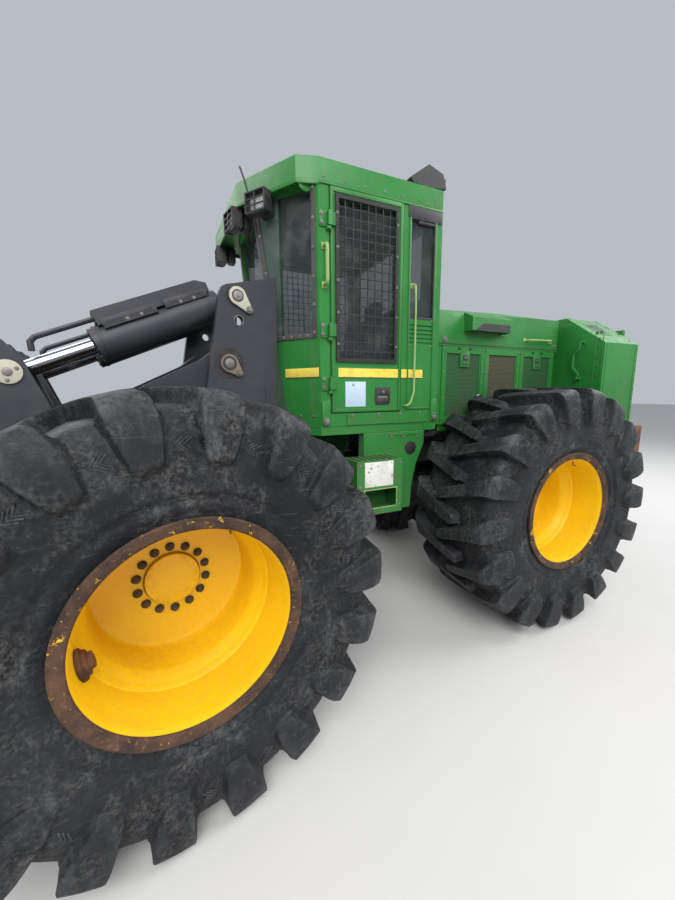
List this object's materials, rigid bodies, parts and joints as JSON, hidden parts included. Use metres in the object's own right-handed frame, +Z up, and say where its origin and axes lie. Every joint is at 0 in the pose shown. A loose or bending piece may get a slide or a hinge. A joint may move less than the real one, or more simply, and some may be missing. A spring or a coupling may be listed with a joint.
{
  "type": "wheeled feller buncher",
  "caption": "Articulated drive-to-tree wheeled feller buncher with enclosed cab, lift and tilt boom, disc-saw felling head and bonnet, steering in its middle.",
  "frame": {"origin": "centre of the footprint box at ground level, with the machine parked as in the picture", "axes": "+X forward along the rear half and its cab, +Y to the machine's left, +Z up"},
  "size_m": [7.1515, 3.3838, 3.448],
  "materials": {
    "green_paint": "satin, weathered",
    "charcoal_paint": "matte, scratched",
    "wheel_paint": "satin, rust at the flange",
    "rusty_steel": "rough, rusted",
    "tyre_rubber": "dusty",
    "cab_glazing": "gloss",
    "chrome_rod": "polished",
    "bright_steel": "worn",
    "engine_grey": "matte",
    "seat_fabric": "matte",
    "cooler_core": "matte",
    "lamp_plastic": "matte"
  },
  "bodies": {
    "rear_half": {"rear_frame": "charcoal_paint", "rear_axle": "charcoal_paint", "engine_block": "engine_grey", "side_screens": "green_paint", "radiator_box": "green_paint", "radiator_core": "cooler_core", "rear_bumper": "rusty_steel", "cab_floor": "green_paint", "cab_body": "green_paint", "cab_roof": "green_paint", "cab_glass": "cab_glazing", "seat_base": "charcoal_paint", "seat_cushions": "seat_fabric", "side_tanks": "green_paint", "step_box": "green_paint", "work_lamps": "lamp_plastic", "grab_rails": "wheel_paint"},
    "front_half": {"front_frame": "charcoal_paint", "front_axle": "charcoal_paint"},
    "boom": {"boom": "charcoal_paint"},
    "head_pins": {"head_pins": "bright_steel"},
    "felling_head": {"head_adapter": "charcoal_paint", "head_frame": "green_paint", "saw_housing": "green_paint"},
    "saw": {"saw_disc": "bright_steel"},
    "harvest_arm": {"harvest_arm": "green_paint"},
    "accumulator_arm": {"accumulator_arm": "green_paint"},
    "lift_barrels": {"lift_barrels": "charcoal_paint"},
    "lift_rods": {"lift_rods": "chrome_rod"},
    "tilt_barrels": {"tilt_barrels": "charcoal_paint"},
    "tilt_rods": {"tilt_rods": "chrome_rod"},
    "door": {"cab_door": "green_paint", "door_glass": "cab_glazing", "door_guard": "charcoal_paint"},
    "hood": {"hood": "green_paint"},
    "rear_door": {"rear_door": "green_paint"},
    "steer_barrel_left": {"steer_barrel_left": "charcoal_paint"},
    "steer_barrel_right": {"steer_barrel_right": "charcoal_paint"},
    "steer_rod_left": {"steer_rod_left": "chrome_rod"},
    "steer_rod_right": {"steer_rod_right": "chrome_rod"},
    "wheel_rear_left": {"tyre_rear_left": "tyre_rubber", "rim_rear_left": "wheel_paint"},
    "wheel_rear_right": {"tyre_rear_right": "tyre_rubber", "rim_rear_right": "wheel_paint"},
    "wheel_front_left": {"tyre_front_left": "tyre_rubber", "rim_front_left": "wheel_paint"},
    "wheel_front_right": {"tyre_front_right": "tyre_rubber", "rim_front_right": "wheel_paint"}
  },
  "joints": [
    {"name": "steer", "type": "hinge", "parent": "rear_half", "child": "front_half", "pos_m": [-0.626, -0.205, 0.96], "axis": [0, 0, 1], "range_deg": [-49.7, 30.3]},
    {"name": "boom_lift", "type": "hinge", "parent": "front_half", "child": "boom", "pos_m": [0.67316, 0.01707, 2.022], "axis": [0.1685, -0.9857, 0], "range_deg": [-3, 53]},
    {"name": "head_level", "type": "hinge", "parent": "boom", "child": "head_pins", "pos_m": [1.59183, 0.1741, 1.42], "axis": [0.1685, -0.9857, 0], "range_deg": [-40.72, 2.31]},
    {"name": "head_tilt", "type": "hinge", "parent": "head_pins", "child": "felling_head", "pos_m": [1.59183, 0.1741, 1.42], "axis": [0.1685, -0.9857, 0], "range_deg": [-20, 25]},
    {"name": "saw_spin", "type": "hinge", "parent": "felling_head", "child": "saw", "pos_m": [2.8831, 0.39482, 0.13], "axis": [0, 0, 1], "continuous": true},
    {"name": "harvest_arm", "type": "hinge", "parent": "felling_head", "child": "harvest_arm", "pos_m": [2.31561, 0.86594, 0.965], "axis": [0, 0, 1], "range_deg": [-6, 70]},
    {"name": "accumulator_arm", "type": "hinge", "parent": "felling_head", "child": "accumulator_arm", "pos_m": [2.50432, -0.23805, 1.365], "axis": [0, 0, -1], "range_deg": [-6, 70]},
    {"name": "lift_cylinders", "type": "hinge", "parent": "front_half", "child": "lift_barrels", "pos_m": [0.59134, 0.00308, 1.01], "axis": [0.1685, -0.9857, 0], "range_deg": [-1.03, 18.15]},
    {"name": "lift_rods", "type": "slide", "parent": "lift_barrels", "child": "lift_rods", "axis": [0.7813, 0.1335, 0.6097], "range_m": [-0.03543, 0.62593]},
    {"name": "tilt_cylinders", "type": "hinge", "parent": "front_half", "child": "tilt_barrels", "pos_m": [0.6012, 0.00477, 2.442], "axis": [0.1685, -0.9857, 0], "range_deg": [-2.71, 47.95]},
    {"name": "tilt_rods", "type": "slide", "parent": "tilt_barrels", "child": "tilt_rods", "axis": [0.9028, 0.1543, -0.4015], "range_m": [-0.2277, 0.18216]},
    {"name": "wheel_rear_left", "type": "hinge", "parent": "rear_half", "child": "wheel_rear_left", "pos_m": [-1.726, 0.893, 0.93], "axis": [0, 1, 0], "continuous": true},
    {"name": "wheel_rear_right", "type": "hinge", "parent": "rear_half", "child": "wheel_rear_right", "pos_m": [-1.726, -1.303, 0.93], "axis": [0, 1, 0], "continuous": true},
    {"name": "wheel_front_left", "type": "hinge", "parent": "front_half", "child": "wheel_front_left", "pos_m": [0.98298, 1.18395, 0.93], "axis": [-0.1685, 0.9857, 0], "continuous": true},
    {"name": "wheel_front_right", "type": "hinge", "parent": "front_half", "child": "wheel_front_right", "pos_m": [1.35298, -0.98065, 0.93], "axis": [-0.1685, 0.9857, 0], "continuous": true},
    {"name": "cab_door", "type": "hinge", "parent": "rear_half", "child": "door", "pos_m": [-0.058, 0.569, 2.4], "axis": [0, 0, 1], "range_deg": [-85, 0]},
    {"name": "bonnet", "type": "hinge", "parent": "rear_half", "child": "hood", "pos_m": [-1.044, -0.205, 2.462], "axis": [0, 1, 0], "range_deg": [0, 45]},
    {"name": "rear_grille", "type": "hinge", "parent": "rear_half", "child": "rear_door", "pos_m": [-3.158, -1.123, 2.01], "axis": [0, 0, 1], "range_deg": [0, 100]},
    {"name": "steer_barrel_left", "type": "hinge", "parent": "rear_half", "child": "steer_barrel_left", "pos_m": [-1.326, 0.175, 0.96], "axis": [0, 0, 1], "range_deg": [-15.41, 9.39]},
    {"name": "steer_rod_left", "type": "slide", "parent": "steer_barrel_left", "child": "steer_rod_left", "axis": [0.9997, -0.0255, 0], "range_m": [-0.16308, 0.26749]},
    {"name": "steer_barrel_right", "type": "hinge", "parent": "rear_half", "child": "steer_barrel_right", "pos_m": [-1.326, -0.585, 0.96], "axis": [0, 0, 1], "range_deg": [-14.58, 8.89]},
    {"name": "steer_rod_right", "type": "slide", "parent": "steer_barrel_right", "child": "steer_rod_right", "axis": [0.9916, 0.1297, 0], "range_m": [-0.29213, 0.1781]}
  ],
  "couplings": [
    {"joint": "head_level", "follows": "boom_lift", "ratio": -0.7606},
    {"joint": "lift_cylinders", "follows": "boom_lift", "ratio": 0.3357},
    {"joint": "lift_rods", "follows": "boom_lift", "m_per_rad": 0.6634},
    {"joint": "tilt_cylinders", "follows": "boom_lift", "ratio": 0.887},
    {"joint": "tilt_rods", "follows": "head_tilt", "m_per_rad": -0.51162},
    {"joint": "steer_barrel_left", "follows": "steer", "ratio": 0.307},
    {"joint": "steer_rod_left", "follows": "steer", "m_per_rad": -0.30532},
    {"joint": "steer_barrel_right", "follows": "steer", "ratio": 0.2905},
    {"joint": "steer_rod_right", "follows": "steer", "m_per_rad": 0.33344}
  ]
}
